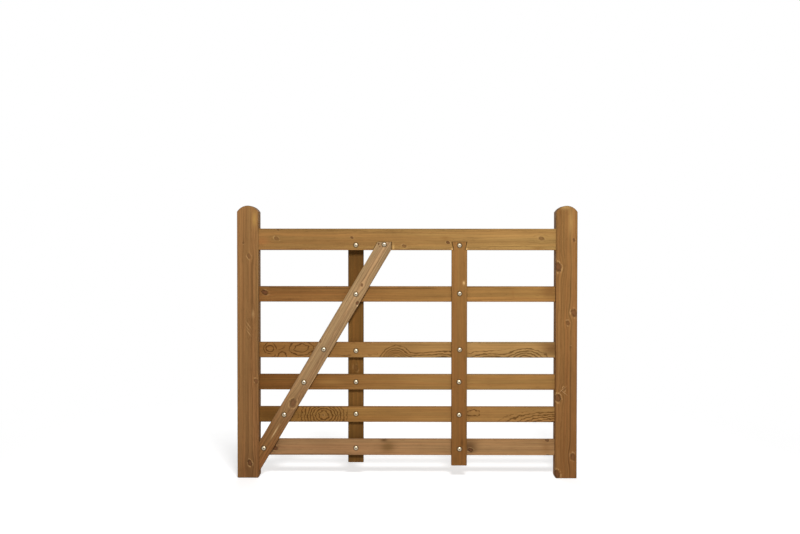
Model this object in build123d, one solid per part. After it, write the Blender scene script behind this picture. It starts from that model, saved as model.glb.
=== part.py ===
from build123d import *
import os
from typing import NamedTuple

# Field gate leaf in planed softwood: two stiles, a deep top rail and five
# thinner rails, an upright on each face and one brace on the front.
# Millimetres. X runs from the hanging stile to the closing stile, Y from the
# front to the rear, Z up. Heights below are taken from the foot of the stiles,
# and every piece is lowered at the end so that the origin lies on the hanging
# stile's outer side face, in the middle of its depth.

# Overall
GATE_WIDTH = 1500.0
GATE_HEIGHT = 1204.0
ORIGIN_HEIGHT = 600.0

# Stiles: domed heads, soft arrises, the inner foot corner more rounded
STILE_WIDTH = 95.0
STILE_DEPTH = 70.0
DOME_RISE = 27.5
STILE_ARRIS = 3.5
INNER_FOOT_RADIUS = 8.0
OUTER_FOOT_RADIUS = 5.0

# Top rail
TOP_RAIL_BOTTOM = 1008.0
TOP_RAIL_HEIGHT = 95.0
TOP_RAIL_DEPTH = 60.0
TOP_RAIL_TENON_LENGTH = 65.0
TOP_RAIL_TENON_HEIGHT = 71.0
TOP_RAIL_TENON_THICKNESS = 24.0

# The boards fill the top rail's depth in three layers
BOARD_THICKNESS = TOP_RAIL_DEPTH / 3
BOARD_ARRIS = 3.0
BOARD_END_ARRIS = 2.0
RAIL_TENON_LENGTH = 60.0
RAIL_TENON_SHOULDER = 10.0

# Uprights and their dovetailed heads, which stand a little loose in their sockets
UPRIGHT_WIDTH = 69.0
FRONT_UPRIGHT_CENTRE = 980.5
REAR_UPRIGHT_CENTRE = 522.0
FRONT_UPRIGHT_BOTTOM = 55.0
REAR_UPRIGHT_BOTTOM = 60.5
HEAD_HEIGHT = 36.0
DOVETAIL_NECK = 47.0
DOVETAIL_TOP = 62.0
DOVETAIL_SIDE_GAP = 3.5
SOCKET_HEAD_GAP = 1.5

# Diagonal brace: run is its lean, sideways travel for each unit of rise
BRACE_RUN = 0.594
BRACE_WIDTH_ALONG_X = 79.4
BRACE_LEFT_AT_FOOT_LEVEL = 0.8
BRACE_LEFT_GAP = 2.5
BRACE_RIGHT_GAP = 3.0

# Carriage bolts: clearance hole, and the recess for washer and nut at the rear
BOLT_HOLE_DIAMETER = 9.0
NUT_RECESS_DIAMETER = 26.0
NUT_RECESS_DEPTH = 8.0

# Derived planes
INNER_LEFT = STILE_WIDTH
INNER_RIGHT = GATE_WIDTH - STILE_WIDTH
FRONT = -TOP_RAIL_DEPTH / 2
RAIL_FRONT = FRONT + BOARD_THICKNESS
RAIL_REAR = RAIL_FRONT + BOARD_THICKNESS
REAR = TOP_RAIL_DEPTH / 2
HEAD_TOP = TOP_RAIL_BOTTOM + HEAD_HEIGHT


class Rail(NamedTuple):
    """A thin rail: its node's name, the height of its underside, its width."""

    name: str
    bottom: float
    height: float


class BoltHole(NamedTuple):
    """A bolt's place on the face of the gate."""

    x: float
    z: float


RAILS = (
    Rail("second_rail", 779.2, 69.0),
    Rail("third_rail", 531.3, 69.0),
    Rail("fourth_rail", 388.5, 69.0),
    Rail("fifth_rail", 244.5, 69.0),
    Rail("bottom_rail", 97.0, 72.0),
)

BRACE_BOLTS = (
    BoltHole(649.0, 1033.0),
    BoltHole(381.5, 569.5),
    BoltHole(294.0, 423.5),
    BoltHole(206.5, 279.5),
    BoltHole(116.0, 131.0),
)
REAR_UPRIGHT_BOLTS = (
    BoltHole(524.0, 1030.5),
    BoltHole(524.0, 813.5),
    BoltHole(523.5, 561.0),
    BoltHole(523.5, 423.0),
    BoltHole(523.5, 280.5),
    BoltHole(523.5, 128.5),
)
FRONT_UPRIGHT_BOLTS = (
    BoltHole(981.0, 1029.0),
    BoltHole(982.0, 816.5),
    BoltHole(982.5, 568.5),
    BoltHole(980.0, 426.0),
    BoltHole(980.5, 280.0),
    BoltHole(982.5, 128.5),
)
ALL_BOLTS = BRACE_BOLTS + REAR_UPRIGHT_BOLTS + FRONT_UPRIGHT_BOLTS
RECESSED_BOLTS = REAR_UPRIGHT_BOLTS + (BRACE_BOLTS[0], FRONT_UPRIGHT_BOLTS[0])


def block(x_span, y_span, z_span):
    """A square-edged block between two corners."""
    centre = [(span[0] + span[1]) / 2 for span in (x_span, y_span, z_span)]
    sides = [span[1] - span[0] for span in (x_span, y_span, z_span)]
    return Pos(*centre) * Box(*sides)


def board(outline, front, rear):
    """A flat outline in the gate's plane, given its thickness from front to rear."""
    return extrude(Plane.XZ.offset(-rear) * outline, amount=rear - front)


def soften(solid, axis, radius):
    """Round the long arrises, the edges that run along one axis."""
    return fillet(solid.edges().filter_by(axis), radius)


def bored(solid, bolts, diameter, front, rear):
    """Take round holes out of a piece wherever a bolt passes through it."""
    depth = rear - front
    middle = (front + rear) / 2
    box = solid.bounding_box()
    for bolt in bolts:
        if box.min.X < bolt.x < box.max.X and box.min.Z < bolt.z < box.max.Z:
            place = Pos(bolt.x, middle, bolt.z) * Rot(X=90)
            solid = solid - place * Cylinder(diameter / 2, depth)
    return solid


def drilled(solid):
    """Bolt holes right through, and nut recesses where the rear face is reached."""
    solid = bored(solid, ALL_BOLTS, BOLT_HOLE_DIAMETER, -STILE_DEPTH, STILE_DEPTH)
    recess_floor = REAR - NUT_RECESS_DEPTH
    return bored(solid, RECESSED_BOLTS, NUT_RECESS_DIAMETER, recess_floor, STILE_DEPTH)


def rail_tenon(rail, x_span):
    """A tenon as thick as its rail, with a shoulder above and below."""
    z_span = (rail.bottom + RAIL_TENON_SHOULDER, rail.bottom + rail.height - RAIL_TENON_SHOULDER)
    return block(x_span, (RAIL_FRONT, RAIL_REAR), z_span)


def top_rail_tenon(x_span):
    """The top rail's tenon, in the middle third of its depth."""
    centre = TOP_RAIL_BOTTOM + TOP_RAIL_HEIGHT / 2
    half_height = TOP_RAIL_TENON_HEIGHT / 2
    half_thickness = TOP_RAIL_TENON_THICKNESS / 2
    z_span = (centre - half_height, centre + half_height)
    return block(x_span, (-half_thickness, half_thickness), z_span)


def stile_outline(outer, inner):
    """A post with a segmental head; its two foot corners have their own radii."""
    shoulder = GATE_HEIGHT - DOME_RISE
    middle = (outer + inner) / 2
    head = ThreePointArc((outer, shoulder), (middle, GATE_HEIGHT), (inner, shoulder))
    sides = Polyline((outer, shoulder), (outer, 0), (inner, 0), (inner, shoulder))
    face = make_face(head + sides)
    feet = face.vertices().sort_by(Axis.Y)[0:2]
    outer_corner = min(feet, key=lambda corner: abs(corner.X - outer))
    face = fillet(outer_corner, OUTER_FOOT_RADIUS)
    inner_corner = min(face.vertices(), key=lambda corner: abs(corner.X - inner) + abs(corner.Y))
    return fillet(inner_corner, INNER_FOOT_RADIUS)


def stile(outer, inner):
    """A stile with its blind mortises, cut from the inner side."""
    half_depth = STILE_DEPTH / 2
    post = board(stile_outline(outer, inner), -half_depth, half_depth)
    faces = post.faces().sort_by(Axis.Y)
    post = fillet(faces[0].edges() + faces[-1].edges(), STILE_ARRIS)
    inward = 1 if inner > outer else -1
    top_span = sorted((inner - inward * TOP_RAIL_TENON_LENGTH, inner + inward))
    post = post - top_rail_tenon(top_span)
    rail_span = sorted((inner - inward * RAIL_TENON_LENGTH, inner + inward))
    for rail in RAILS:
        post = post - rail_tenon(rail, rail_span)
    return post


def flared_outline(centre, half_neck, half_top, top):
    """A dovetail shape that stands on the level of the top rail's underside."""
    return make_face(
        Polyline(
            (centre - half_neck, TOP_RAIL_BOTTOM),
            (centre + half_neck, TOP_RAIL_BOTTOM),
            (centre + half_top, top),
            (centre - half_top, top),
            close=True,
        )
    )


def dovetail_outline(centre):
    """The head of an upright, which widens upwards."""
    return flared_outline(centre, DOVETAIL_NECK / 2, DOVETAIL_TOP / 2, HEAD_TOP)


def dovetail_socket_outline(centre):
    """The socket for that head, with the same flare and a gap at both sides and on top."""
    half_neck = DOVETAIL_NECK / 2 + DOVETAIL_SIDE_GAP
    half_top = DOVETAIL_TOP / 2 + DOVETAIL_SIDE_GAP
    return flared_outline(centre, half_neck, half_top, HEAD_TOP + SOCKET_HEAD_GAP)


def upright(centre, bottom, front, rear):
    """A board with soft arrises that ends in a dovetail above two square shoulders."""
    half_width = UPRIGHT_WIDTH / 2
    x_span = (centre - half_width, centre + half_width)
    shaft = block(x_span, (front, rear), (bottom, TOP_RAIL_BOTTOM))
    shaft = soften(shaft, Axis.Z, BOARD_ARRIS)
    shaft = fillet(shaft.faces().sort_by(Axis.Z)[0].edges(), BOARD_END_ARRIS)
    return drilled(shaft + board(dovetail_outline(centre), front, rear))


def brace_left_edge(height):
    """Sideways place of the brace's upper left edge at a height."""
    return BRACE_LEFT_AT_FOOT_LEVEL + BRACE_RUN * height


def brace_end_outline(left_gap, right_gap, top):
    """The shape at the top of the brace, square on its right side, with room around it."""
    left_low = brace_left_edge(TOP_RAIL_BOTTOM)
    left_high = brace_left_edge(top)
    right = left_low + BRACE_WIDTH_ALONG_X + right_gap
    return make_face(
        Polyline(
            (left_low - left_gap, TOP_RAIL_BOTTOM),
            (right, TOP_RAIL_BOTTOM),
            (right, top),
            (left_high - left_gap, top),
            close=True,
        )
    )


def brace_head_outline():
    """The part of the brace let into the top rail."""
    return brace_end_outline(0, 0, HEAD_TOP)


def brace_socket_outline():
    """The socket for that part, open at the rail's underside."""
    return brace_end_outline(BRACE_LEFT_GAP, BRACE_RIGHT_GAP, HEAD_TOP + SOCKET_HEAD_GAP)


def brace_shank_outline():
    """The brace below the top rail, its foot cut upright against the hanging stile."""
    left_low = brace_left_edge(TOP_RAIL_BOTTOM)
    heel = (INNER_LEFT - BRACE_LEFT_AT_FOOT_LEVEL) / BRACE_RUN
    toe = heel - BRACE_WIDTH_ALONG_X / BRACE_RUN
    return make_face(
        Polyline(
            (INNER_LEFT, toe),
            (left_low + BRACE_WIDTH_ALONG_X, TOP_RAIL_BOTTOM),
            (left_low, TOP_RAIL_BOTTOM),
            (INNER_LEFT, heel),
            close=True,
        )
    )


def long_sloping_edges(solid):
    """The four arrises that run up the length of the brace."""
    longest_first = solid.edges().sort_by(SortBy.LENGTH, reverse=True)
    return longest_first[0:4]


def diagonal_brace():
    """The front brace, from the foot of the hanging stile up into the top rail."""
    shank = board(brace_shank_outline(), FRONT, RAIL_FRONT)
    shank = fillet(long_sloping_edges(shank), BOARD_ARRIS)
    return drilled(shank + board(brace_head_outline(), FRONT, RAIL_FRONT))


def top_rail():
    """The deep rail, tenoned at both ends, with three sockets for the boards' heads."""
    z_span = (TOP_RAIL_BOTTOM, TOP_RAIL_BOTTOM + TOP_RAIL_HEIGHT)
    rail = soften(block((INNER_LEFT, INNER_RIGHT), (FRONT, REAR), z_span), Axis.X, BOARD_ARRIS)
    rail = rail + top_rail_tenon((INNER_LEFT - TOP_RAIL_TENON_LENGTH, INNER_LEFT))
    rail = rail + top_rail_tenon((INNER_RIGHT, INNER_RIGHT + TOP_RAIL_TENON_LENGTH))
    rail = rail - board(dovetail_socket_outline(FRONT_UPRIGHT_CENTRE), FRONT, RAIL_FRONT)
    rail = rail - board(dovetail_socket_outline(REAR_UPRIGHT_CENTRE), RAIL_REAR, REAR)
    rail = rail - board(brace_socket_outline(), FRONT, RAIL_FRONT)
    return drilled(rail)


def thin_rail(rail):
    """A rail with soft arrises between the stiles and a tenon at each end."""
    z_span = (rail.bottom, rail.bottom + rail.height)
    body = block((INNER_LEFT, INNER_RIGHT), (RAIL_FRONT, RAIL_REAR), z_span)
    body = soften(body, Axis.X, BOARD_ARRIS)
    body = body + rail_tenon(rail, (INNER_LEFT - RAIL_TENON_LENGTH, INNER_LEFT))
    body = body + rail_tenon(rail, (INNER_RIGHT, INNER_RIGHT + RAIL_TENON_LENGTH))
    return drilled(body)


def pieces():
    """Every timber of the gate by name."""
    made = {
        "hanging_stile": stile(0.0, INNER_LEFT),
        "closing_stile": stile(GATE_WIDTH, INNER_RIGHT),
        "top_rail": top_rail(),
        "front_upright": upright(FRONT_UPRIGHT_CENTRE, FRONT_UPRIGHT_BOTTOM, FRONT, RAIL_FRONT),
        "rear_upright": upright(REAR_UPRIGHT_CENTRE, REAR_UPRIGHT_BOTTOM, RAIL_REAR, REAR),
        "diagonal_brace": diagonal_brace(),
    }
    for rail in RAILS:
        made[rail.name] = thin_rail(rail)
    return made


os.makedirs("parts", exist_ok=True)
for name, solid in pieces().items():
    export_step(Pos(0, 0, -ORIGIN_HEIGHT) * solid, f"parts/{name}.step")
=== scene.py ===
import logging
import math
from dataclasses import dataclass
from enum import Enum

import bmesh
import bpy
import numpy as np
from mathutils import Matrix, Vector


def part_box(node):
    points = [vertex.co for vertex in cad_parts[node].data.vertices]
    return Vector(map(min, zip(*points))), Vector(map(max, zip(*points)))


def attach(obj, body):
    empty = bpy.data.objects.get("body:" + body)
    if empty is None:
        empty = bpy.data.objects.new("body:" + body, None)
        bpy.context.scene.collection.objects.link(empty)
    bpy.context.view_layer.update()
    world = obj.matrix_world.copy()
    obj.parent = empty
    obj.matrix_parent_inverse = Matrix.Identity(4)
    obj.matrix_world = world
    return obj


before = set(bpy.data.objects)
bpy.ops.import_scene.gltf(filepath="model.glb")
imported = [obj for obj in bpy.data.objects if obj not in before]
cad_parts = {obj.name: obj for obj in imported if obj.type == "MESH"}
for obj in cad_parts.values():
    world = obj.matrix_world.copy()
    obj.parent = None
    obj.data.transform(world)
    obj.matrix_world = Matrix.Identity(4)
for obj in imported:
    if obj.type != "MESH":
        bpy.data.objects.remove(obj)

log = logging.getLogger("field_gate")

Socket = bpy.types.NodeSocket
Triple = tuple[float, float, float]
Display = tuple[int, int, int]
Number = "Field | float"
Spots = tuple[tuple[float, float], ...]

FOOT = -0.600
MIDDLE = 0.750
HEAD_RADIUS = 0.0100
ENDLESS = 9.0
RIGHT: Triple = (1.0, 0.0, 0.0)
INWARD: Triple = (0.0, 1.0, 0.0)
UP: Triple = (0.0, 0.0, 1.0)
BRACE_BOLTS: Spots = (
    (0.649, 1.033), (0.3815, 0.5695), (0.294, 0.4235), (0.2065, 0.2795), (0.116, 0.131),
)
REAR_UPRIGHT_BOLTS: Spots = (
    (0.524, 1.0305), (0.524, 0.8135), (0.5235, 0.561), (0.5235, 0.423), (0.5235, 0.2805),
    (0.5235, 0.1285),
)
FRONT_UPRIGHT_BOLTS: Spots = (
    (0.981, 1.029), (0.982, 0.8165), (0.9825, 0.5685), (0.98, 0.426), (0.9805, 0.28),
    (0.9825, 0.1285),
)


def stain(red: int, green: int, blue: int) -> Triple:
    """A colour given as three display values, turned to linear light.

    Each channel c in 0..1 becomes c / 12.92 below 0.04045, and ((c + 0.055) / 1.055) to the
    power 2.4 above it.

    Args:
        red, green, blue: display values, 0 to 255.

    Returns:
        The linear red, green and blue.
    """
    knee, low, lift, high, power = 0.04045, 12.92, 0.055, 1.055, 2.4
    shares = [value / 255 for value in (red, green, blue)]
    return tuple(c / low if c < knee else ((c + lift) / high) ** power for c in shares)


WARM: Triple = (1.03, 0.98, 0.95)
COOL: Triple = (0.98, 1.00, 0.98)
LATE_WOOD: Triple = (0.36, 0.30, 0.24)
KNOT_HALO = stain(196, 154, 102)
KNOT_CORE = stain(104, 66, 42)
KNOT_RIM = stain(58, 36, 20)


class Field:
    """A number that varies over a surface, written as ordinary arithmetic on shader nodes."""

    def __init__(self, bench: "Bench", socket: Socket) -> None:
        """Keeps the workbench that laid the node and the socket that carries the number."""
        self.bench = bench
        self.socket = socket

    def __add__(self, other: Number) -> "Field":
        """This number plus another."""
        return self.bench.math("ADD", self, other)

    def __sub__(self, other: Number) -> "Field":
        """This number less another."""
        return self.bench.math("SUBTRACT", self, other)

    def __mul__(self, other: Number) -> "Field":
        """This number times another."""
        return self.bench.math("MULTIPLY", self, other)

    def __truediv__(self, other: Number) -> "Field":
        """This number over another."""
        return self.bench.math("DIVIDE", self, other)

    def squared(self) -> "Field":
        """This number times itself."""
        return self * self

    def root(self) -> "Field":
        """The square root of this number."""
        return self.bench.math("SQRT", self)

    def size(self) -> "Field":
        """This number without its sign."""
        return self.bench.math("ABSOLUTE", self)

    def part(self) -> "Field":
        """What is left of this number after its whole part."""
        return self.bench.math("FRACT", self)

    def fade(self) -> "Field":
        """e to the power of minus this number: 1 at zero, fading out upwards."""
        return self.bench.math("EXPONENT", self * -1.0)

    def bell(self) -> "Field":
        """e to the power of minus this number squared: 1 at zero, fading out both ways."""
        return self.squared().fade()

    def rise(self, start: float, end: float, low: float = 0.0, high: float = 1.0) -> "Field":
        """A smooth step from low to high as this number goes from start to end."""
        return self.bench.step(self, start, end, low, high)

    def most(self, other: Number) -> "Field":
        """The larger of this number and another."""
        return self.bench.math("MAXIMUM", self, other)


class Bench:
    """A workbench for one material or world: it lays nodes and hands back their outputs."""

    def __init__(self, owner: "bpy.types.Material | bpy.types.World") -> None:
        """Clears the owner's nodes and starts on them."""
        self.owner = owner
        owner.use_nodes = True
        self.tree = owner.node_tree
        self.tree.nodes.clear()

    def lay(self, kind: str, **settings: object) -> bpy.types.Node:
        """A new node of a kind, with its properties set."""
        node = self.tree.nodes.new(kind)
        for key, value in settings.items():
            setattr(node, key, value)
        return node

    def feed(self, target: Socket, value: object) -> None:
        """Links a field or socket to an input, or sets the input to a constant."""
        if isinstance(value, Field):
            self.tree.links.new(value.socket, target)
        elif isinstance(value, Socket):
            self.tree.links.new(value, target)
        elif isinstance(value, tuple) and len(value) == 3 and target.type == "RGBA":
            target.default_value = (*value, 1.0)
        else:
            target.default_value = value

    def math(self, operation: str, *terms: Number) -> Field:
        """One Math node on up to three terms."""
        node = self.lay("ShaderNodeMath", operation=operation)
        for target, term in zip(node.inputs, terms):
            self.feed(target, term)
        return Field(self, node.outputs[0])

    def step(self, value: Field, start: float, end: float, low: float, high: float) -> Field:
        """A Map Range node that eases in and out."""
        node = self.lay("ShaderNodeMapRange", interpolation_type="SMOOTHSTEP")
        for target, term in zip(node.inputs, (value, start, end, low, high)):
            self.feed(target, term)
        return Field(self, node.outputs[0])

    def read(self, output: str) -> Socket:
        """Object coordinates or the Normal, in the gate's own frame."""
        return self.lay("ShaderNodeTexCoord").outputs[output]

    def along(self, vector: Socket, axis: Triple) -> Field:
        """How far a vector reaches along an axis."""
        node = self.lay("ShaderNodeVectorMath", operation="DOT_PRODUCT")
        self.feed(node.inputs[0], vector)
        node.inputs[1].default_value = axis
        return Field(self, node.outputs["Value"])

    def join(self, *terms: Number) -> Socket:
        """Three numbers as one vector."""
        node = self.lay("ShaderNodeCombineXYZ")
        for target, term in zip(node.inputs, terms):
            self.feed(target, term)
        return node.outputs[0]

    def cloud(self, vector: Socket, detail: float = 2.0, rough: float = 0.5) -> Field:
        """Smooth noise of unit size over a vector, from 0 to 1 and about 0.5 on average."""
        node = self.lay("ShaderNodeTexNoise")
        self.feed(node.inputs["Vector"], vector)
        node.inputs["Scale"].default_value = 1.0
        node.inputs["Detail"].default_value = detail
        node.inputs["Roughness"].default_value = rough
        return Field(self, node.outputs[0])

    def blend(self, amount: Number, under: object, over: object, way: str = "MIX") -> Socket:
        """One colour laid over another by an amount."""
        node = self.lay("ShaderNodeMix", data_type="RGBA", blend_type=way)
        self.feed(node.inputs["Factor"], amount)
        self.feed(node.inputs[6], under)
        self.feed(node.inputs[7], over)
        return node.outputs[2]

    def shade(self, colour: Socket, amount: Number) -> Socket:
        """A colour or a vector times a factor."""
        node = self.lay("ShaderNodeVectorMath", operation="SCALE")
        self.feed(node.inputs[0], colour)
        self.feed(node.inputs["Scale"], amount)
        return node.outputs[0]

    def relief(self, height: Field, depth: float, strength: float) -> Socket:
        """A bump of that depth in metres where the height is 1."""
        node = self.lay("ShaderNodeBump")
        node.inputs["Strength"].default_value = strength
        node.inputs["Distance"].default_value = depth
        self.feed(node.inputs["Height"], height)
        return node.outputs[0]

    def shader(self, kind: str, sockets: dict[str, object]) -> Socket:
        """A shader of a kind, with the named sockets fed or set."""
        node = self.lay(kind)
        for name, value in sockets.items():
            self.feed(node.inputs[name], value)
        return node.outputs[0]

    def mix(self, amount: Field, *shaders: Socket) -> Socket:
        """The second shader laid over the first by an amount."""
        node = self.lay("ShaderNodeMixShader")
        for target, value in zip(node.inputs, (amount, *shaders)):
            self.feed(target, value)
        return node.outputs[0]

    def finish(self, surface: Socket, kind: str = "Material") -> bpy.types.ID:
        """Ends the work in that surface, and hands back the material or world."""
        self.feed(self.lay("ShaderNodeOutput" + kind).inputs["Surface"], surface)
        return self.owner


@dataclass(frozen=True)
class Noise:
    """Noise stretched along a board, in cycles to the metre along it and across it."""

    along: float
    across: float
    detail: float = 2.0
    rough: float = 0.5
    shifted: int = 0

    def over(self, u: Field, v: Field, w: Field, seed: float) -> Field:
        """The noise at a place in the board, with its seed added on the shifted axis.

        Args:
            u, v, w: place along, across and through the board, in metres.
            seed: what makes one board differ from the next.

        Returns:
            A number from 0 to 1, about 0.5 on average.
        """
        place = [u * self.along, v * self.across, w * self.across]
        place[self.shifted] = place[self.shifted] + seed
        return u.bench.cloud(u.bench.join(*place), self.detail, self.rough)


SWAY = Noise(5.0, 14.0, shifted=1)
UNEVEN = Noise(14.0, 50.0, shifted=1)
RIPPLE = Noise(60.0, 90.0, 1.0)
BROAD = Noise(0.8, 42.0, rough=0.55)
MEDIUM = Noise(2.4, 150.0, rough=0.6, shifted=1)
LINE = Noise(1.6, 230.0, rough=0.6)
FIBRE = Noise(16.0, 700.0, rough=0.6, shifted=2)
BLOTCH = Noise(6.0, 12.0, 3.0, 0.55)
FLECK = Noise(30.0, 260.0, rough=0.6, shifted=1)
HUE = Noise(1.3, 55.0, 1.0, shifted=2)


class Lie(Enum):
    """Which way a timber lies in the gate."""

    UPRIGHT = "upright"
    LEVEL = "level"
    SLOPING = "sloping"


@dataclass(frozen=True)
class Knot:
    """A knot, placed from the middle of its board, in metres."""

    along: float
    across: float
    radius: float
    dark: float = 0.6
    halo: float = 0.8
    pull: float = 0.8
    lean: float = 0.35


@dataclass(frozen=True)
class Swell:
    """A place where the growth rings bulge, so that they show as nested loops."""

    along: float
    across: float
    length: float
    width: float
    rise: float


@dataclass(frozen=True)
class Streak:
    """A long band of other wood colour that runs with the grain."""

    across: float
    width: float
    shade: float
    start: float = -ENDLESS
    end: float = ENDLESS
    fade: float = 0.05

    def over(self, u: Field, bent: Field) -> Field:
        """How much lighter or darker it makes a place along and across the grain."""
        band = ((bent - self.across) / self.width).bell()
        if self.start > -ENDLESS or self.end < ENDLESS:
            band = band * u.rise(self.start - self.fade, self.start)
            band = band * u.rise(self.end + self.fade, self.end)
        return band * self.shade


@dataclass(frozen=True)
class Patch:
    """A soft oval patch of another colour on the board's front."""

    along: float
    across: float
    length: float
    width: float
    colour: Display
    strength: float
    lean: float = 0.0


@dataclass(frozen=True)
class Grain:
    """How a board was sawn: where the log's pith lies and how its rings run."""

    pith_across: float = 0.0
    pith_depth: float = 0.045
    ring: float = 0.0045
    taper: float = 0.012
    wander: float = 0.006
    ripple: float = 0.3
    seed: float = 0.0


@dataclass(frozen=True)
class Timber:
    """The finish of one board: planed softwood under a thin brown stain.

    The stain goes from start to end, and the latter is reached at the share settles of the half
    length. late, bands, fibres and blotches say how strongly each of these shows.
    """

    node: str
    lie: Lie
    start: Display
    end: Display
    grain: Grain = Grain()
    knots: tuple[Knot, ...] = ()
    swells: tuple[Swell, ...] = ()
    streaks: tuple[Streak, ...] = ()
    patches: tuple[Patch, ...] = ()
    bolts: Spots = ()
    late: float = 0.24
    bands: float = 0.62
    fibres: float = 0.46
    blotches: float = 0.36
    settles: float = 1.0
    lean: float = 0.594
    middle_of_slope: Triple = (0.3593, -0.020, -0.06325)

    def axes(self) -> tuple[Triple, Triple]:
        """The board's long and cross directions in the gate's plane."""
        if self.lie is Lie.UPRIGHT:
            return UP, RIGHT
        if self.lie is Lie.LEVEL:
            return RIGHT, UP
        slope = math.atan(self.lean)
        return (math.sin(slope), 0.0, math.cos(slope)), (math.cos(slope), 0.0, -math.sin(slope))

    def middle(self) -> Vector:
        """The middle of the board."""
        low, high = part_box(self.node)
        if self.lie is Lie.SLOPING:
            return Vector(self.middle_of_slope)
        return (Vector(low) + Vector(high)) / 2

    def reach(self) -> float:
        """Half of the board's length."""
        low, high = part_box(self.node)
        return (Vector(high) - Vector(low)).dot(Vector(self.axes()[0])) / 2

    def depth(self) -> float:
        """How thick the board is from front to rear."""
        low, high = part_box(self.node)
        return high[1] - low[1]

    def flow(self, u: Field, v: Field, w: Field) -> Field:
        """Where a point lies across the grain.

        It is v plus slow noise along the board, and each knot pulls the lines apart: near a knot
        at c, v becomes v - (v - c) p e^(-d^2), with d the distance in oval radii and p its pull.

        Args:
            u, v, w: place along, across and through the board, in metres.

        Returns:
            The place across the grain, in metres.
        """
        bench, seed = u.bench, self.grain.seed
        slow_cycles, sway_size = 1.7, 0.005
        reach_along, reach_across = 3.2, 2.0
        slow = bench.cloud(bench.join(u * slow_cycles, seed, 0.0), 1.0) - 0.5
        sway = SWAY.over(u, v, w, seed) - 0.5
        bent = v + slow * (self.grain.wander * 2) + sway * sway_size
        for knot in self.knots:
            along = (u - knot.along) / (knot.radius * reach_along)
            across = (v - knot.across) / (knot.radius * reach_across)
            near = (along.squared() + across.squared()).root()
            bent = bent - (bent - knot.across) * near.bell() * knot.pull
        return bent

    def late_wood(self, u: Field, bent: Field, w: Field) -> Field:
        """Dark lines of late wood, one to a growth ring.

        The rings are counted by sqrt(v^2 + w^2) from the pith, plus a taper times u, plus a bell
        for each swell, over one ring's width. The slope of that count is summed beside it, from
        v / sqrt(v^2 + w^2) and minus 2 bell / size^2 for each swell, so that the line before each
        whole number is as thin on a flat place as on a steep one. No line takes more than a share
        of its ring, and the lines fade out where the count is nearly flat.

        Args:
            u, bent, w: place along the board, across its grain and through it, in metres.

        Returns:
            1 in the middle of a line, 0 between the lines.
        """
        grain = self.grain
        line_starts, line_full = 0.0068, 0.0036
        share_starts, share_full, share_ends = 0.36, 0.56, 0.93
        flattest, flat, steep = 0.14, 0.13, 0.34
        away = bent - grain.pith_across
        radius = (away.squared() + (w - grain.pith_depth).squared()).root()
        slope_across = away / radius
        slope_along = u * 0.0 + grain.taper
        count = radius + u * grain.taper
        for swell in self.swells:
            off_along = u - swell.along
            off_across = bent - swell.across
            oval = (off_along / swell.length).squared() + (off_across / swell.width).squared()
            bell = oval.fade() * swell.rise
            count = count + bell
            slope_along = slope_along - off_along * bell * (2 / swell.length**2)
            slope_across = slope_across - off_across * bell * (2 / swell.width**2)
        slope = (slope_along.squared() + slope_across.squared()).root().most(flattest)
        uneven = UNEVEN.over(u, bent, w, grain.seed) - 0.5
        ripple = RIPPLE.over(u, bent, w, grain.seed) - 0.5
        step = (count / grain.ring + uneven + ripple * grain.ripple).part()
        before = (step * -1.0 + 1.0) * grain.ring / slope
        line = before.rise(line_starts, line_full) * step.rise(share_starts, share_full)
        return line * step.rise(1.0, share_ends) * slope.rise(flat, steep)

    def with_knots(
        self, colour: Socket, u: Field, v: Field, front: Field
    ) -> tuple[Socket, Field | None]:
        """The colour with the knots laid in, and their rims for the relief.

        Each knot is a red-brown oval with a dark rim and a pale halo where the fibres part round
        it. Its distance field has a little noise, so that no outline is a true oval, and it
        fades out behind the board's front.

        Args:
            colour: the colour so far.
            u, v: place along and across the board, in metres.
            front: 1 at the board's front, 0 behind it.

        Returns:
            The new colour, and how strong the rims are, or None where there is no knot.
        """
        if not self.knots:
            return colour, None
        shrink, stretch, roughness = 0.84, 1.3, 1.1
        halo_at, rim_width = 1.50, 0.30
        halo_share, core_share = 0.64, 0.90
        bench, seed = u.bench, self.grain.seed
        grit = bench.cloud(bench.join(u * 110.0, v * 150.0, seed), 2.0) - 0.5
        gaps = bench.cloud(bench.join(u * 55.0, v * 90.0 + seed, 0.0), 1.0)
        ragged = gaps.rise(0.42, 0.62)
        layers = None
        for knot in self.knots:
            size = knot.radius * shrink
            across = v - knot.across
            along = (u - knot.along + across * knot.lean) / (size * stretch)
            near = (along.squared() + (across / size).squared()).root() + grit * roughness
            fresh = (
                near.rise(1.05, 0.70) * knot.dark,
                ((near - 1.0) / rim_width).bell() * knot.dark,
                ((near - halo_at) / rim_width).bell() * ragged * knot.halo,
            )
            layers = fresh if layers is None else [a.most(b) for a, b in zip(layers, fresh)]
        core, rim, halo = (layer * front for layer in layers)
        colour = bench.blend(halo * halo_share, colour, KNOT_HALO)
        colour = bench.blend(core * core_share, colour, KNOT_CORE)
        return bench.blend(rim * ragged.rise(0.0, 1.0, 0.55, 0.95), colour, KNOT_RIM), rim

    def with_patches(
        self, colour: Socket, u: Field, v: Field, front: Field, mottle: Field
    ) -> Socket:
        """The colour with the soft blotches laid on the board's front.

        Args:
            colour: the colour so far.
            u, v: place along and across the board, in metres.
            front: 1 at the board's front, 0 behind it.
            mottle: noise that breaks up the outlines.

        Returns:
            The new colour.
        """
        for patch in self.patches:
            along = u - patch.along
            across = v - patch.across + along * patch.lean
            oval = (along / patch.length).squared() + (across / patch.width).squared()
            shape = oval.root() + mottle
            share = shape.bell() * front * patch.strength
            colour = u.bench.blend(share, colour, stain(*patch.colour))
        return colour

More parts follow.
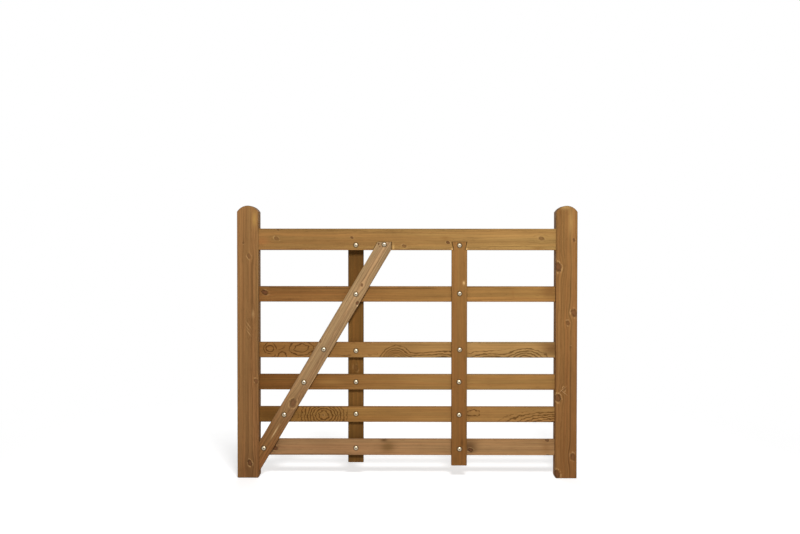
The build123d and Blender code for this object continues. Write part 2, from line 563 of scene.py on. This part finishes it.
    def shadow(self, bench: Bench, place: Socket, long_axis: Triple) -> Field:
        """Painted shade on arrises, sides and round bolt heads, and darker end grain, as a factor.

        Args:
            bench: the workbench of the board's material.
            place: the point's Object coordinates.
            long_axis: the board's long direction.

        Returns:
            A factor, 1 in the open face.
        """
        arris_dark, side_dark, end_dark, bolt_dark = -0.42, -0.16, -0.34, -0.45
        ring_radius, ring_width = HEAD_RADIUS + 0.0010, 0.0020
        facing = bench.read("Normal")
        frontal = bench.along(facing, INWARD).size()
        # Painted shade: arrises and side faces darker than the open front.
        arris = ((frontal - 0.62) / 0.20).bell() * arris_dark + 1.0
        side = frontal.rise(0.40, 0.10) * side_dark + 1.0
        end_grain = bench.along(facing, long_axis).size().rise(0.25, 0.75) * end_dark + 1.0
        shadow = arris * side * end_grain
        across, height = bench.along(place, RIGHT), bench.along(place, UP)
        # A painted contact shadow in a ring round each bolt head.
        for x, z in self.bolts:
            away = ((across - x).squared() + (height - z - FOOT).squared()).root()
            shadow = shadow * (((away - ring_radius) / ring_width).bell() * bolt_dark + 1.0)
        return shadow

    def material(self) -> bpy.types.Material:
        """Builds the board's material.

        A point's place along (u), across (v) and through (w) the board comes from its Object
        coordinates. The stain's colour goes from the board's start to its end. It is toned by
        bands, streaks and fibres stretched along the flow of the grain, then come the late wood,
        the soft blotches and the knots, and last painted shade on arrises, sides and round bolt
        heads, with darker end grain.

        Returns:
            The finished material.
        """
        bench = Bench(bpy.data.materials.new("stained_" + self.node))
        long_axis, cross_axis = self.axes()
        middle = self.middle()
        place = bench.read("Object")
        u = bench.along(place, long_axis) - middle.dot(Vector(long_axis))
        v = bench.along(place, cross_axis) - middle.dot(Vector(cross_axis))
        w = bench.along(place, INWARD) - middle.y
        seed = self.grain.seed
        bent = self.flow(u, v, w)
        late = self.late_wood(u, bent, w)

        broad = BROAD.over(u, bent, w, seed) - 0.5
        medium = MEDIUM.over(u, bent, w, seed) - 0.5
        line = LINE.over(u, bent, w, seed).rise(0.40, 0.62) - 0.5
        fibre = FIBRE.over(u, bent, w, seed) - 0.5
        blotch = BLOTCH.over(u, v, w, seed) - 0.5
        fleck = FLECK.over(u, bent, w, seed).rise(0.60, 0.74)
        hue = HUE.over(u, bent, w, seed * 2)

        bands = broad * 0.42 + medium * 0.9 + line * 0.30
        level = bands * self.bands + fibre * self.fibres + blotch * self.blotches + 1.0
        level = level + self.late * 0.08 - fleck * 0.22
        for streak in self.streaks:
            level = level + streak.over(u, bent)

        half = self.reach()
        ends = stain(*self.start), stain(*self.end)
        base = bench.blend(u.rise(-half, half * self.settles), *ends)
        warm, cool, dark = (bench.blend(1.0, base, c, "MULTIPLY") for c in (WARM, COOL, LATE_WOOD))
        colour = bench.shade(bench.blend(hue.rise(0.35, 0.65), cool, warm), level)
        colour = bench.blend(late * self.late, colour, dark)
        front = w.rise(self.depth() * -0.10, self.depth() * -0.35)
        mottle = blotch * 0.9 + medium * 0.7
        colour = self.with_patches(colour, u, v, front, mottle)
        colour, rim = self.with_knots(colour, u, v, front)
        # Painted shade on arrises, sides and round bolt heads, with darker end grain.
        colour = bench.shade(colour, self.shadow(bench, place, long_axis))

        height = fibre * 0.35 + late * 0.45 + medium * 0.2
        if rim is not None:
            height = height - rim * 0.6
        sockets = {
            "Base Color": colour,
            "Roughness": medium * 0.12 + late * -0.05 + 0.80,
            "Specular IOR Level": 0.03,
            "Normal": bench.relief(height, 0.0004, 0.6),
        }
        return bench.finish(bench.shader("ShaderNodeBsdfPrincipled", sockets))

    def dress(self) -> None:
        """Gives the board's node its finish."""
        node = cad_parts[self.node]
        node.data.materials.clear()
        node.data.materials.append(self.material())
        log.info("dressed %s", self.node)


def grid_faces(rows: int, columns: int, closed: bool) -> np.ndarray:
    """Quads over a grid of points, joined round if it is closed.

    The quad at row i and column j takes the points (i, j), (i, j+1), (i+1, j+1), (i+1, j).

    Args:
        rows: rows of points.
        columns: points in each row.
        closed: True if the last column joins the first.

    Returns:
        An array of four point numbers for each quad.
    """
    across = columns if closed else columns - 1
    i, j = np.meshgrid(np.arange(rows - 1), np.arange(across), indexing="ij")
    beside = (j + 1) % columns
    here, next_row = i * columns, (i + 1) * columns
    quads = (here + j, here + beside, next_row + beside, next_row + j)
    return np.stack(quads, -1).reshape(-1, 4)


@dataclass(frozen=True)
class Shape:
    """Points, the quads between them, and how bright the painted reflection is at each point."""

    points: np.ndarray
    quads: np.ndarray
    clean: np.ndarray

    def moved(self, x: float, y: float, z: float) -> "Shape":
        """The same shape at another place."""
        return Shape(self.points + (x, y, z), self.quads, self.clean)


def turned(radius: np.ndarray, height: np.ndarray, clean: np.ndarray | float = 0.8) -> Shape:
    """A lathe shape: rows of points at radii and heights, round the axis that faces the viewer.

    Point (i, j) stands at x = r cos a, y = -h, z = r sin a, where a = -2 pi j / columns. The first
    and last rows have a radius of nothing, or meet each other, which closes the shape.

    Args:
        radius: radii, rows by columns.
        height: how far each point stands towards the viewer, rows by columns.
        clean: how bright the painted reflection is there, 0 to 1.

    Returns:
        The shape about the origin.
    """
    rows, columns = radius.shape
    turn = -2 * np.pi * np.arange(columns) / columns
    points = np.stack((radius * np.cos(turn), -height, radius * np.sin(turn)), -1).reshape(-1, 3)
    clean = (clean + np.zeros((rows, columns))).ravel()
    return Shape(points, grid_faces(rows, columns, True), clean)


def spun(segments: int, *profile: np.ndarray) -> Shape:
    """The lathe shape of one profile.

    Args:
        segments: how many steps make the full turn.
        profile: radii and heights row by row, and the painted reflection's brightness where it
            varies.

    Returns:
        The shape about the origin.
    """
    return turned(*(np.repeat(line[:, None], segments, 1) for line in profile))


def piece_from(name: str, shapes: list[Shape], material: bpy.types.Material) -> bpy.types.Object:
    """One object from several shapes, welded, smooth, and riding on the gate.

    Args:
        name: the piece's name.
        shapes: its shapes, in metres in the gate's frame.
        material: its finish, which may read the attribute "clean", the painted reflection's
            brightness.

    Returns:
        The new object.
    """
    offsets = np.cumsum([0] + [len(shape.points) for shape in shapes])
    points = np.concatenate([shape.points for shape in shapes])
    quads = np.concatenate([shape.quads + start for shape, start in zip(shapes, offsets)])
    mesh = bpy.data.meshes.new(name)
    mesh.from_pydata(points.tolist(), [], quads.tolist())
    clean = np.concatenate([shape.clean for shape in shapes]).astype(np.float32)
    mesh.attributes.new("clean", "FLOAT", "POINT").data.foreach_set("value", clean)
    weld_and_smooth(mesh)
    mesh.materials.append(material)
    piece = bpy.data.objects.new(name, mesh)
    bpy.context.scene.collection.objects.link(piece)
    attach(piece, "root")
    log.info("made %s with %d faces", name, len(mesh.polygons))
    return piece


def weld_and_smooth(mesh: bpy.types.Mesh) -> None:
    """Merges points that meet, drops flat slivers at the poles, and smooths gentle edges."""
    weld, sliver, gentle = 1e-6, 1e-7, math.radians(32)
    work = bmesh.new()
    work.from_mesh(mesh)
    bmesh.ops.remove_doubles(work, verts=work.verts, dist=weld)
    bmesh.ops.dissolve_degenerate(work, edges=work.edges, dist=sliver)
    bmesh.ops.recalc_face_normals(work, faces=work.faces)
    for edge in work.edges:
        edge.smooth = edge.calc_face_angle(0.0) < gentle
    for face in work.faces:
        face.smooth = True
    work.to_mesh(mesh)
    work.free()


@dataclass(frozen=True)
class BoltPlace:
    """Where one bolt stands: its axis, and the depths of the faces at its head and its nut."""

    x: float
    z: float
    head: float
    seat: float


@dataclass(frozen=True)
class ZincPlate:
    """Bright zinc plating with a faint crystal mottle, and a dark reflection painted on."""

    name: str
    bright: Triple = stain(204, 192, 168)
    dull: Triple = stain(172, 158, 132)
    # The colour of the dark reflection painted on the bolt heads.
    painted_dark_reflection: Triple = stain(84, 66, 46)
    mottle_cycles: float = 420.0
    speckle_cycles: float = 1900.0

    def material(self) -> bpy.types.Material:
        """Builds the plating: two greys in patches, speckle in its roughness, a painted dark
        reflection.
        """
        bench = Bench(bpy.data.materials.new(self.name))
        place = bench.read("Object")
        mottle = bench.cloud(bench.shade(place, self.mottle_cycles), 3.0, 0.6)
        speckle = bench.cloud(bench.shade(place, self.speckle_cycles), 2.0, 0.5)
        painted_reflection_node = bench.lay("ShaderNodeAttribute", attribute_name="clean")
        clean = Field(bench, painted_reflection_node.outputs["Fac"])
        colour = bench.blend(mottle.rise(0.38, 0.62), self.dull, self.bright)
        # The base colour takes the painted dark reflection where the attribute is low.
        sockets = {
            "Base Color": bench.blend(clean, self.painted_dark_reflection, colour),
            "Metallic": 1.0,
            "Roughness": mottle * 0.12 + speckle * 0.10 - clean * 0.14 + 0.38,
            "Normal": bench.relief(speckle, 0.00005, 0.5),
        }
        return bench.finish(bench.shader("ShaderNodeBsdfPrincipled", sockets))


@dataclass
class CarriageBolts:
    """The carriage bolts of one line: domed heads in front, washers and nuts behind."""

    line: str
    places: tuple[BoltPlace, ...]
    finish: bpy.types.Material
    head_radius: float = HEAD_RADIUS
    head_height: float = 0.0045
    rim: float = 0.0007
    lift: float = 0.0002
    shank: float = 0.004
    pitch: float = 0.00125
    washer_radius: float = 0.012
    washer_thickness: float = 0.0018
    nut_across_flats: float = 0.013
    nut_height: float = 0.0065
    proud: float = 0.0020
    thread_depth: float = 0.0006
    thread_rows: int = 72
    clearance: float = 0.0003
    chamfer_foot: float = 0.97
    chamfer_slope: float = 1.9
    segments: int = 40
    nut_segments: int = 72
    # Where the dark reflection is painted on each head: shares of its radius, and how bright.
    reflection_share: tuple[float, ...] = (0.0, 0.20, 0.46, 0.70, 0.84, 1.0)
    reflection_profile: tuple[float, ...] = (0.0, 0.15, 0.95, 0.85, 0.30, 0.0)

    def head(self, place: BoltPlace) -> Shape:
        """The domed head and its shank, turned from one profile.

        The dome is a cap with a full shoulder: at a share s of its radius it stands
        k (1 - s^2.2). Under it come the rim, the flat underside and the shank down to the nut.
        A dark reflection is painted on the crown's middle and round the rim, a bright ring between.
        """
        share = np.linspace(0, 1, 15)
        crown = self.head_height - self.rim
        dome = self.lift + self.rim + crown * (1 - share**2.2)
        under = [self.head_radius, self.head_radius * 0.99, self.shank, self.shank, 0]
        radius = np.concatenate((self.head_radius * share, under))
        end = place.head - place.seat
        below = [self.lift + self.rim * 0.4, self.lift, self.lift, end, end]
        height = np.concatenate((dome, below))
        # Painted dark reflection: dark at the crown's middle and round the rim, a bright ring
        # between.
        clean = np.interp(share, self.reflection_share, self.reflection_profile)
        clean = np.concatenate((clean, np.full(len(under), self.reflection_profile[-1])))
        return spun(self.segments, radius, height, clean).moved(place.x, place.head, place.z)

    def thread(self, place: BoltPlace) -> Shape:
        """The threaded end past the nut's seat, a tube whose radius follows a helix.

        At turn a and length s the radius is r less a depth d times the distance of s / p - a / 2 pi
        from its nearest whole number, doubled, where p is the pitch: one continuous ridge. The last
        pitch tapers into a flat tip.
        """
        length = self.washer_thickness + self.nut_height + self.proud
        s = np.linspace(0, length, self.thread_rows)[:, None]
        turn = np.arange(self.segments)[None, :] / self.segments
        saw = s / self.pitch + turn
        ridge = 2 * np.abs(saw - np.round(saw))
        taper = np.clip((length - s) / self.pitch, 0, 1)
        radius = self.shank - self.thread_depth * ridge - self.thread_depth * (1 - taper)
        pole = np.zeros((1, self.segments))
        radius = np.concatenate((pole, radius, pole))
        depth = np.concatenate((s[:1], s, s[-1:])) + pole
        return turned(radius, -depth).moved(place.x, place.seat, place.z)

    def washer(self, place: BoltPlace) -> Shape:
        """A flat ring with eased outer corners, its profile carried round and closed."""
        thick, outer = self.washer_thickness, self.washer_radius
        inner = self.shank + self.clearance
        ease = thick * 0.25
        radius = np.array([inner, outer - ease, outer, outer, outer - ease, inner, inner])
        depth = np.array([0, 0, ease, thick - ease, thick, thick, 0])
        return spun(self.segments, radius, -depth).moved(place.x, place.seat, place.z)

    def nut(self, place: BoltPlace) -> Shape:
        """A hexagon nut with chamfered corners.

        Round the nut a flat stands f / cos(a), with a the angle from the flat's middle. A cone cuts
        the corners at both faces, so the radius is the smaller of the two at every height.
        """
        flat = self.nut_across_flats / 2
        count = self.nut_segments
        turn = 2 * np.pi * np.arange(count) / count
        hexagon = flat / np.cos((turn + np.pi / 6) % (np.pi / 3) - np.pi / 6)
        share = np.array([0, 0.06, 0.12, 0.2, 0.5, 0.8, 0.88, 0.94, 1.0])
        from_face = np.minimum(share, 1 - share) * self.nut_height
        cone = flat * self.chamfer_foot + from_face * self.chamfer_slope
        wall = np.minimum(hexagon[None, :], cone[:, None])
        bore = np.full((1, count), self.shank * 0.98)
        radius = np.concatenate((bore, wall, bore, bore))
        depth = self.washer_thickness + self.nut_height * np.concatenate(([0], share, [1, 0]))
        shape = turned(radius, np.repeat(-depth[:, None], count, 1))
        return shape.moved(place.x, place.seat, place.z)

    def build(self) -> None:
        """Makes the line's bolts, washers and nuts, each kind as one piece."""
        kinds = {
            "_bolts": (self.head, self.thread),
            "_washers": (self.washer,),
            "_nuts": (self.nut,),
        }
        for kind, makers in kinds.items():
            shapes = [make(place) for place in self.places for make in makers]
            piece_from(self.line + kind, shapes, self.finish)


# The two posts of the leaf.
STILES: tuple[Timber, ...] = (
    Timber(
        "hanging_stile", Lie.UPRIGHT, (129, 91, 55), (138, 101, 61),
        grain=Grain(pith_across=-0.012, pith_depth=0.06, ring=0.007, wander=0.002, seed=1.3),
        knots=(
            Knot(0.3799, 0.0057, 0.009, 0.55, 0.7), Knot(-0.1722, 0.0354, 0.008, 0.6, 0.8),
            Knot(-0.5359, 0.0081, 0.01, 0.85, 0.9), Knot(0.4372, -0.0207, 0.004, 0.4, 0.6),
        ),
        swells=(
            Swell(0.0622, 0.005, 0.05, 0.012, -0.016), Swell(0.1196, 0.0228, 0.02, 0.008, -0.008),
        ),
        streaks=(
            Streak(0.018, 0.002, -0.3, -0.62, 0.35), Streak(0.023, 0.003, 0.14, -0.45, 0.1),
            Streak(-0.006, 0.003, -0.12), Streak(-0.034, 0.004, 0.08),
            Streak(-0.02, 0.002, -0.1, -0.3, 0.6),
        ),
        patches=(
            Patch(0.5429, 0.0302, 0.034, 0.01, (186, 145, 78), 0.55),
            Patch(0.124, 0.0228, 0.016, 0.006, (184, 146, 98), 0.42),
            Patch(-0.5671, -0.0008, 0.05, 0.03, (96, 62, 36), 0.45),
            Patch(0.04, 0.004, 0.012, 0.002, (186, 146, 98), 0.7, 0.7),
            Patch(0.056, 0.002, 0.014, 0.002, (186, 146, 98), 0.7, 0.7),
            Patch(0.074, 0.004, 0.014, 0.002, (186, 146, 98), 0.6, 0.7),
            Patch(0.048, 0.007, 0.012, 0.0018, (104, 66, 34), 0.6, 0.7),
        ),
    ),
    Timber(
        "closing_stile", Lie.UPRIGHT, (134, 92, 52), (136, 98, 56),
        grain=Grain(pith_across=0.015, pith_depth=0.06, ring=0.007, wander=0.002, seed=5.1),
        knots=(
            Knot(0.3326, -0.0385, 0.015, 0.75, 0.9), Knot(0.13, 0.0327, 0.013, 0.7, 0.9),
            Knot(0.0859, 0.0065, 0.008, 0.5, 0.8), Knot(0.4514, 0.0314, 0.006, 0.7, 0.6),
            Knot(-0.2057, -0.01, 0.006, 0.3, 0.9), Knot(-0.2455, -0.0363, 0.013, 0.7, 0.9),
            Knot(-0.5067, 0.0309, 0.012, 0.6, 0.9), Knot(-0.5823, -0.0394, 0.013, 0.85, 0.9),
            Knot(-0.02, 0.0201, 0.004, 0.4, 0.6),
        ),
        swells=(Swell(-0.2145, -0.0144, 0.02, 0.014, -0.012),),
        streaks=(
            Streak(0.018, 0.002, -0.34), Streak(0.03, 0.006, 0.12, -0.1, 0.6),
            Streak(-0.01, 0.004, -0.1), Streak(-0.03, 0.003, 0.08, -0.5, 0.3),
            Streak(0.004, 0.002, -0.1),
        ),
        patches=(
            Patch(0.5305, 0.0179, 0.06, 0.012, (190, 148, 88), 0.5),
            Patch(0.5964, -0.0087, 0.01, 0.022, (190, 155, 98), 0.5),
            Patch(0.5745, -0.0284, 0.01, 0.004, (112, 74, 36), 0.6),
            Patch(-0.222, -0.01, 0.01, 0.002, (188, 148, 100), 0.8, 1.2),
            Patch(-0.208, -0.016, 0.01, 0.002, (188, 148, 100), 0.8, -1.2),
            Patch(-0.216, -0.019, 0.008, 0.002, (88, 52, 28), 0.7, -0.8),
        ),
    ),
)

# The deep top rail and the five thin ones below it.
RAILS: tuple[Timber, ...] = (
    Timber(
        "top_rail", Lie.LEVEL, (139, 102, 58), (153, 118, 69),
        grain=Grain(pith_across=0.004, pith_depth=0.07, ring=0.008, seed=2.7),
        knots=(
            Knot(-0.5761, 0.0036, 0.008, 0.5, 0.6), Knot(-0.2431, 0.0083, 0.005, 0.8, 0.7),
            Knot(0.5917, 0.0045, 0.009, 0.6, 0.6), Knot(0.18, -0.0134, 0.006, 0.9, 0.6),
            Knot(-0.0138, -0.029, 0.007, 0.55, 0.6), Knot(-0.5694, 0.0433, 0.005, 0.5, 0.4),
        ),
        swells=(
            Swell(0.5895, 0.0045, 0.045, 0.016, 0.01), Swell(-0.5783, 0.0036, 0.035, 0.014, 0.008),
        ),
        streaks=(
            Streak(-0.012, 0.004, -0.1), Streak(0.044, 0.003, -0.1), Streak(0.02, 0.006, 0.08),
            Streak(-0.036, 0.003, 0.08, -0.4, 0.6),
        ),
        patches=(
            Patch(0.1668, 0.0064, 0.02, 0.01, (120, 80, 38), 0.35),
            Patch(0.5764, -0.0374, 0.03, 0.005, (118, 78, 36), 0.6),
            Patch(-0.6401, -0.0074, 0.03, 0.02, (176, 110, 62), 0.35),
            Patch(0.199, -0.043, 0.005, 0.005, (216, 172, 112), 0.9),
            Patch(0.262, -0.0429, 0.005, 0.005, (216, 172, 112), 0.9),
            Patch(-0.0601, -0.0357, 0.004, 0.014, (200, 160, 100), 0.7),
        ),
        bolts=REAR_UPRIGHT_BOLTS[:1],
    ),
    Timber(
        "second_rail", Lie.LEVEL, (127, 87, 47), (154, 114, 64),
        grain=Grain(pith_depth=0.07, ring=0.006, seed=3.9),
        knots=(Knot(-0.6313, 0.0071, 0.011, 1.0, 0.5),),
        streaks=(
            Streak(0.026, 0.0022, -0.4, -0.6, 0.1), Streak(0.012, 0.0015, -0.12, -0.5, 0.2),
        ),
        patches=(
            Patch(0.63, 0.02, 0.034, 0.036, (122, 82, 44), 0.6),
            Patch(0.469, 0.0051, 0.006, 0.012, (140, 98, 52), 0.5),
        ),
    ),
    Timber(
        "third_rail", Lie.LEVEL, (131, 90, 47), (159, 125, 77),
        grain=Grain(0.004, pith_depth=0.1, ring=0.0085, wander=0.003, ripple=0.7, seed=6.4),
        swells=(
            Swell(-0.61, 0.006, 0.024, 0.018, 0.022), Swell(-0.47, 0.006, 0.062, 0.03, 0.028),
            Swell(-0.555, -0.025, 0.022, 0.02, 0.018), Swell(-0.05, -0.032, 0.046, 0.04, 0.046),
            Swell(0.03, -0.038, 0.06, 0.02, 0.014), Swell(0.15, -0.04, 0.08, 0.03, 0.02),
            Swell(0.36, -0.04, 0.074, 0.028, 0.018), Swell(0.525, -0.038, 0.07, 0.038, 0.034),
        ),
        patches=(
            Patch(0.642, 0.005, 0.052, 0.034, (104, 68, 36), 0.75),
            Patch(0.2791, 0.0221, 0.05, 0.01, (190, 150, 95), 0.4),
        ),
        bolts=REAR_UPRIGHT_BOLTS[2:3], late=0.88, blotches=0.4,
    ),
    Timber(
        "fourth_rail", Lie.LEVEL, (112, 74, 36), (150, 111, 63),
        grain=Grain(pith_depth=0.09, ring=0.008, seed=8.2),
        patches=(Patch(-0.3419, -0.0005, 0.06, 0.01, (170, 128, 72), 0.4),),
        bolts=REAR_UPRIGHT_BOLTS[3:4], late=0.12, settles=0.35,
    ),
    Timber(
        "fifth_rail", Lie.LEVEL, (129, 91, 45), (149, 110, 63),
        grain=Grain(pith_depth=0.2, ring=0.0062, wander=0.003, ripple=1.2, seed=9.6),
        knots=(Knot(-0.3731, -0.0035, 0.004, 0.5, 0.6),),
        swells=(
            Swell(-0.37, -0.004, 0.08, 0.056, 0.052), Swell(0.29, 0.0065, 0.05, 0.018, 0.013),
            Swell(0.65, -0.045, 0.19, 0.05, 0.036),
        ),
        patches=(Patch(-0.62, 0.0, 0.07, 0.06, (94, 61, 26), 0.8),),
        bolts=REAR_UPRIGHT_BOLTS[4:5], settles=0.4, late=0.85,
    ),
    Timber(
        "bottom_rail", Lie.LEVEL, (148, 112, 77), (161, 123, 82),
        grain=Grain(pith_depth=0.09, ring=0.009, seed=11.3),
        knots=(
            Knot(-0.5867, -0.005, 0.01, 0.95, 0.8), Knot(0.2824, -0.0124, 0.009, 0.95, 0.8),
            Knot(0.6265, -0.0386, 0.007, 0.9, 0.6), Knot(0.6218, 0.0327, 0.007, 0.8, 0.6),
        ),
        patches=(
            Patch(-0.0842, 0.0003, 0.03, 0.024, (108, 78, 42), 0.7),
            Patch(-0.102, 0.0315, 0.014, 0.006, (78, 52, 28), 0.8),
            Patch(0.2801, 0.0009, 0.03, 0.028, (84, 56, 32), 0.75),
            Patch(0.6175, -0.0029, 0.024, 0.034, (128, 90, 54), 0.5),
            Patch(-0.6001, 0.0083, 0.03, 0.03, (96, 64, 36), 0.75),
        ),
        bolts=REAR_UPRIGHT_BOLTS[5:6], late=0.1, blotches=0.4,
    ),
)

# The front upright, the rear upright and the diagonal brace.
BRACES: tuple[Timber, ...] = (
    Timber(
        "front_upright", Lie.UPRIGHT, (128, 87, 46), (140, 101, 56),
        grain=Grain(pith_depth=0.08, ring=0.007, seed=13.1),
        patches=(
            Patch(0.3141, 0.0195, 0.007, 0.005, (214, 172, 116), 0.85),
            Patch(-0.394, 0.0129, 0.014, 0.006, (84, 56, 28), 0.6),
            Patch(-0.4695, -0.0179, 0.02, 0.01, (90, 60, 30), 0.35),
        ),
        bolts=FRONT_UPRIGHT_BOLTS, late=0.1, bands=0.34, blotches=0.2,
    ),
    # The rear upright's darker stain is partly painted shade, for where it sits recessed behind the
    # rails.
    Timber(
        "rear_upright", Lie.UPRIGHT, (114, 80, 39), (111, 76, 36),
        grain=Grain(pith_depth=0.08, ring=0.007, seed=14.9),
        knots=(Knot(-0.0696, 0.0006, 0.01, 0.3, 0.4),),
        patches=(
            Patch(-0.43, 0.0, 0.09, 0.06, (78, 52, 24), 0.6),
            Patch(0.43, 0.0, 0.08, 0.06, (82, 56, 26), 0.6),
        ),
        late=0.12,
    ),
    Timber(
        "diagonal_brace", Lie.SLOPING, (126, 85, 47), (160, 129, 92),
        grain=Grain(pith_across=-0.016, pith_depth=0.05, ring=0.006, seed=16.7),
        knots=(
            Knot(-0.2342, 0.0071, 0.015, 0.6, 0.9), Knot(0.3709, 0.0027, 0.006, 0.8, 0.8),
            Knot(0.0632, -0.0304, 0.006, 0.7, 0.8), Knot(0.292, 0.025, 0.007, 1.0, 0.3),
            Knot(0.5636, -0.0272, 0.004, 0.95, 0.6), Knot(0.5575, -0.0159, 0.003, 0.95, 0.6),
        ),
        swells=(
            Swell(-0.2731, 0.0198, 0.03, 0.016, -0.014),
            Swell(-0.3256, 0.0097, 0.024, 0.012, -0.01),
        ),
        streaks=(
            Streak(0.012, 0.0012, -0.34, -0.4, 0.6), Streak(0.022, 0.004, -0.12),
            Streak(-0.02, 0.0012, -0.16, -0.5, 0.4), Streak(0.031, 0.0016, 0.22, -0.6, -0.1),
            Streak(-0.004, 0.001, -0.14, -0.1, 0.6),
        ),
        patches=(
            Patch(-0.3858, 0.0042, 0.026, 0.0025, (206, 172, 124), 0.8),
            Patch(-0.53, 0.0226, 0.04, 0.012, (142, 92, 56), 0.5),
            Patch(0.283, 0.033, 0.006, 0.004, (226, 190, 146), 0.9),
        ),
        bolts=BRACE_BOLTS + REAR_UPRIGHT_BOLTS[1:2], late=0.3, bands=0.8, fibres=0.62, settles=0.2,
    ),
)


@dataclass
class Ironwork:
    """All the bolts of the gate, line by line, with heights from the foot of the stiles."""

    front: float = -0.030
    rail_front: float = -0.010
    rail_rear: float = 0.010
    recess: float = 0.022

    def places(self, spots: Spots, heads: list[float], seats: list[float]) -> tuple[BoltPlace, ...]:
        """Bolt places from their axes and the depths of their two faces."""
        return tuple(
            BoltPlace(x, z + FOOT, head, seat) for (x, z), head, seat in zip(spots, heads, seats)
        )

    def build(self) -> None:
        """Makes the three lines of bolts."""
        zinc = ZincPlate("zinc_plated_steel").material()
        board_heads = [self.front] * 6
        rail_seats = [self.recess] + [self.rail_rear] * 5
        rear_heads = [self.front, self.front] + [self.rail_front] * 4
        rear_seats = [self.recess] * 6
        lines = (
            ("front_upright", FRONT_UPRIGHT_BOLTS, board_heads, rail_seats),
            ("brace", BRACE_BOLTS, board_heads, rail_seats),
            ("rear_upright", REAR_UPRIGHT_BOLTS, rear_heads, rear_seats),
        )
        for line, spots, heads, seats in lines:
            CarriageBolts(line, self.places(spots, heads, seats), zinc).build()


@dataclass
class Studio:
    """A plain white floor, soft lamps, and the camera of the photograph."""

    ground: float = FOOT
    camera_place: Triple = (0.74154, -4.58881, 0.42484)
    pitch: float = 1.1429
    yaw: float = -0.2882
    roll: float = 0.0439
    lens: float = 46.535
    key_place: Triple = (1.05, -3.4, 2.4)
    key_power: float = 150.0
    fill_place: Triple = (0.4, 3.6, 1.6)
    fill_power: float = 80.0
    world: float = 0.24
    floor_white: float = 0.82
    floor_lift: float = 0.42
    floor_fades: float = 1.2
    floor_gone: float = 2.6

    def floor(self) -> None:
        """A wide disc: its colour is white, it keeps the soft shadow and fades to the backdrop."""
        rings = np.concatenate(([0.0], np.geomspace(0.2, 30.0, 24)))
        columns = 96
        turn = 2 * np.pi * np.arange(columns) / columns
        radius = np.repeat(rings[:, None], columns, 1)
        x = MIDDLE + radius * np.cos(turn)
        y = radius * np.sin(turn)
        points = np.stack((x, y, np.full_like(x, self.ground)), -1).reshape(-1, 3)
        mesh = bpy.data.meshes.new("floor")
        mesh.from_pydata(points.tolist(), [], grid_faces(len(rings), columns, True).tolist())
        floor = bpy.data.objects.new("floor", mesh)
        bpy.context.scene.collection.objects.link(floor)
        bench = Bench(bpy.data.materials.new("white_floor"))
        place = bench.read("Object")
        across, inward = bench.along(place, RIGHT) - MIDDLE, bench.along(place, INWARD)
        far = (across.squared() + inward.squared()).root()
        diffuse = bench.shader("ShaderNodeBsdfDiffuse", {"Color": (self.floor_white,) * 3})
        lift = bench.shader("ShaderNodeEmission", {"Strength": self.floor_lift})
        white = bench.shader("ShaderNodeEmission", {"Strength": 1.0})
        both = bench.lay("ShaderNodeAddShader")
        bench.feed(both.inputs[0], diffuse)
        bench.feed(both.inputs[1], lift)
        near = bench.mix(far.rise(self.floor_fades, self.floor_gone), both.outputs[0], white)
        mesh.materials.append(bench.finish(bench.mix(self.seen(bench), diffuse, near)))

    @staticmethod
    def seen(bench: Bench) -> Field:
        """1 for what the camera sees, straight or in a reflection or through glass."""
        path = bench.lay("ShaderNodeLightPath")
        straight = Field(bench, path.outputs["Is Camera Ray"])
        glossy = Field(bench, path.outputs["Is Glossy Ray"])
        through = Field(bench, path.outputs["Is Transmission Ray"])
        return straight.most(glossy).most(through)

    def sky(self) -> None:
        """A world that shows white and lights the gate more gently than it shows."""
        world = bpy.data.worlds.new("studio")
        bpy.context.scene.world = world
        bench = Bench(world)
        light, show = (
            bench.shader("ShaderNodeBackground", {"Color": (1.0, 1.0, 1.0), "Strength": strength})
            for strength in (self.world, 1.0)
        )
        bench.finish(bench.mix(self.seen(bench), light, show), "World")

    def lamp(self, name: str, place: Triple, power: float, size: float) -> None:
        """A square soft lamp that looks at the middle of the gate."""
        data = bpy.data.lights.new(name, "AREA")
        data.energy = power
        data.size = size
        lamp = bpy.data.objects.new(name, data)
        lamp.location = place
        aim = Vector((MIDDLE, 0.0, 0.0)) - Vector(place)
        lamp.rotation_mode = "QUATERNION"
        lamp.rotation_quaternion = aim.to_track_quat("-Z", "Y")
        bpy.context.scene.collection.objects.link(lamp)

    def camera(self) -> None:
        """The camera at the photograph's place, turned by its small yaw, pitch and roll."""
        data = bpy.data.cameras.new("camera")
        data.lens = self.lens
        data.sensor_width = 36.0
        camera = bpy.data.objects.new("camera", data)
        bpy.context.scene.collection.objects.link(camera)
        pitch, yaw, roll = (math.radians(angle) for angle in (self.pitch, self.yaw, self.roll))
        ahead = math.cos(pitch)
        forward = Vector((math.sin(yaw) * ahead, math.cos(yaw) * ahead, -math.sin(pitch)))
        right = Vector((math.cos(yaw), -math.sin(yaw), 0.0))
        up = right.cross(forward)
        level_right = right * math.cos(roll) + up * math.sin(roll)
        level_up = up * math.cos(roll) - right * math.sin(roll)
        turn = Matrix((level_right, level_up, -forward)).transposed()
        camera.matrix_world = Matrix.Translation(self.camera_place) @ turn.to_4x4()
        bpy.context.scene.camera = camera

    def build(self) -> None:
        """Sets up the whole studio."""
        bpy.context.scene.view_settings.view_transform = "Standard"
        self.camera()
        self.floor()
        self.sky()
        self.lamp("key_lamp", self.key_place, self.key_power, 0.9)
        self.lamp("fill_lamp", self.fill_place, self.fill_power, 2.4)


def main() -> None:
    """Builds the studio, dresses the timbers and adds the bolts."""
    logging.basicConfig(level=logging.INFO, format="%(message)s")
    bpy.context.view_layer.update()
    Studio().build()
    for timber in STILES + RAILS + BRACES:
        timber.dress()
    Ironwork().build()


if __name__ == "__main__":
    main()
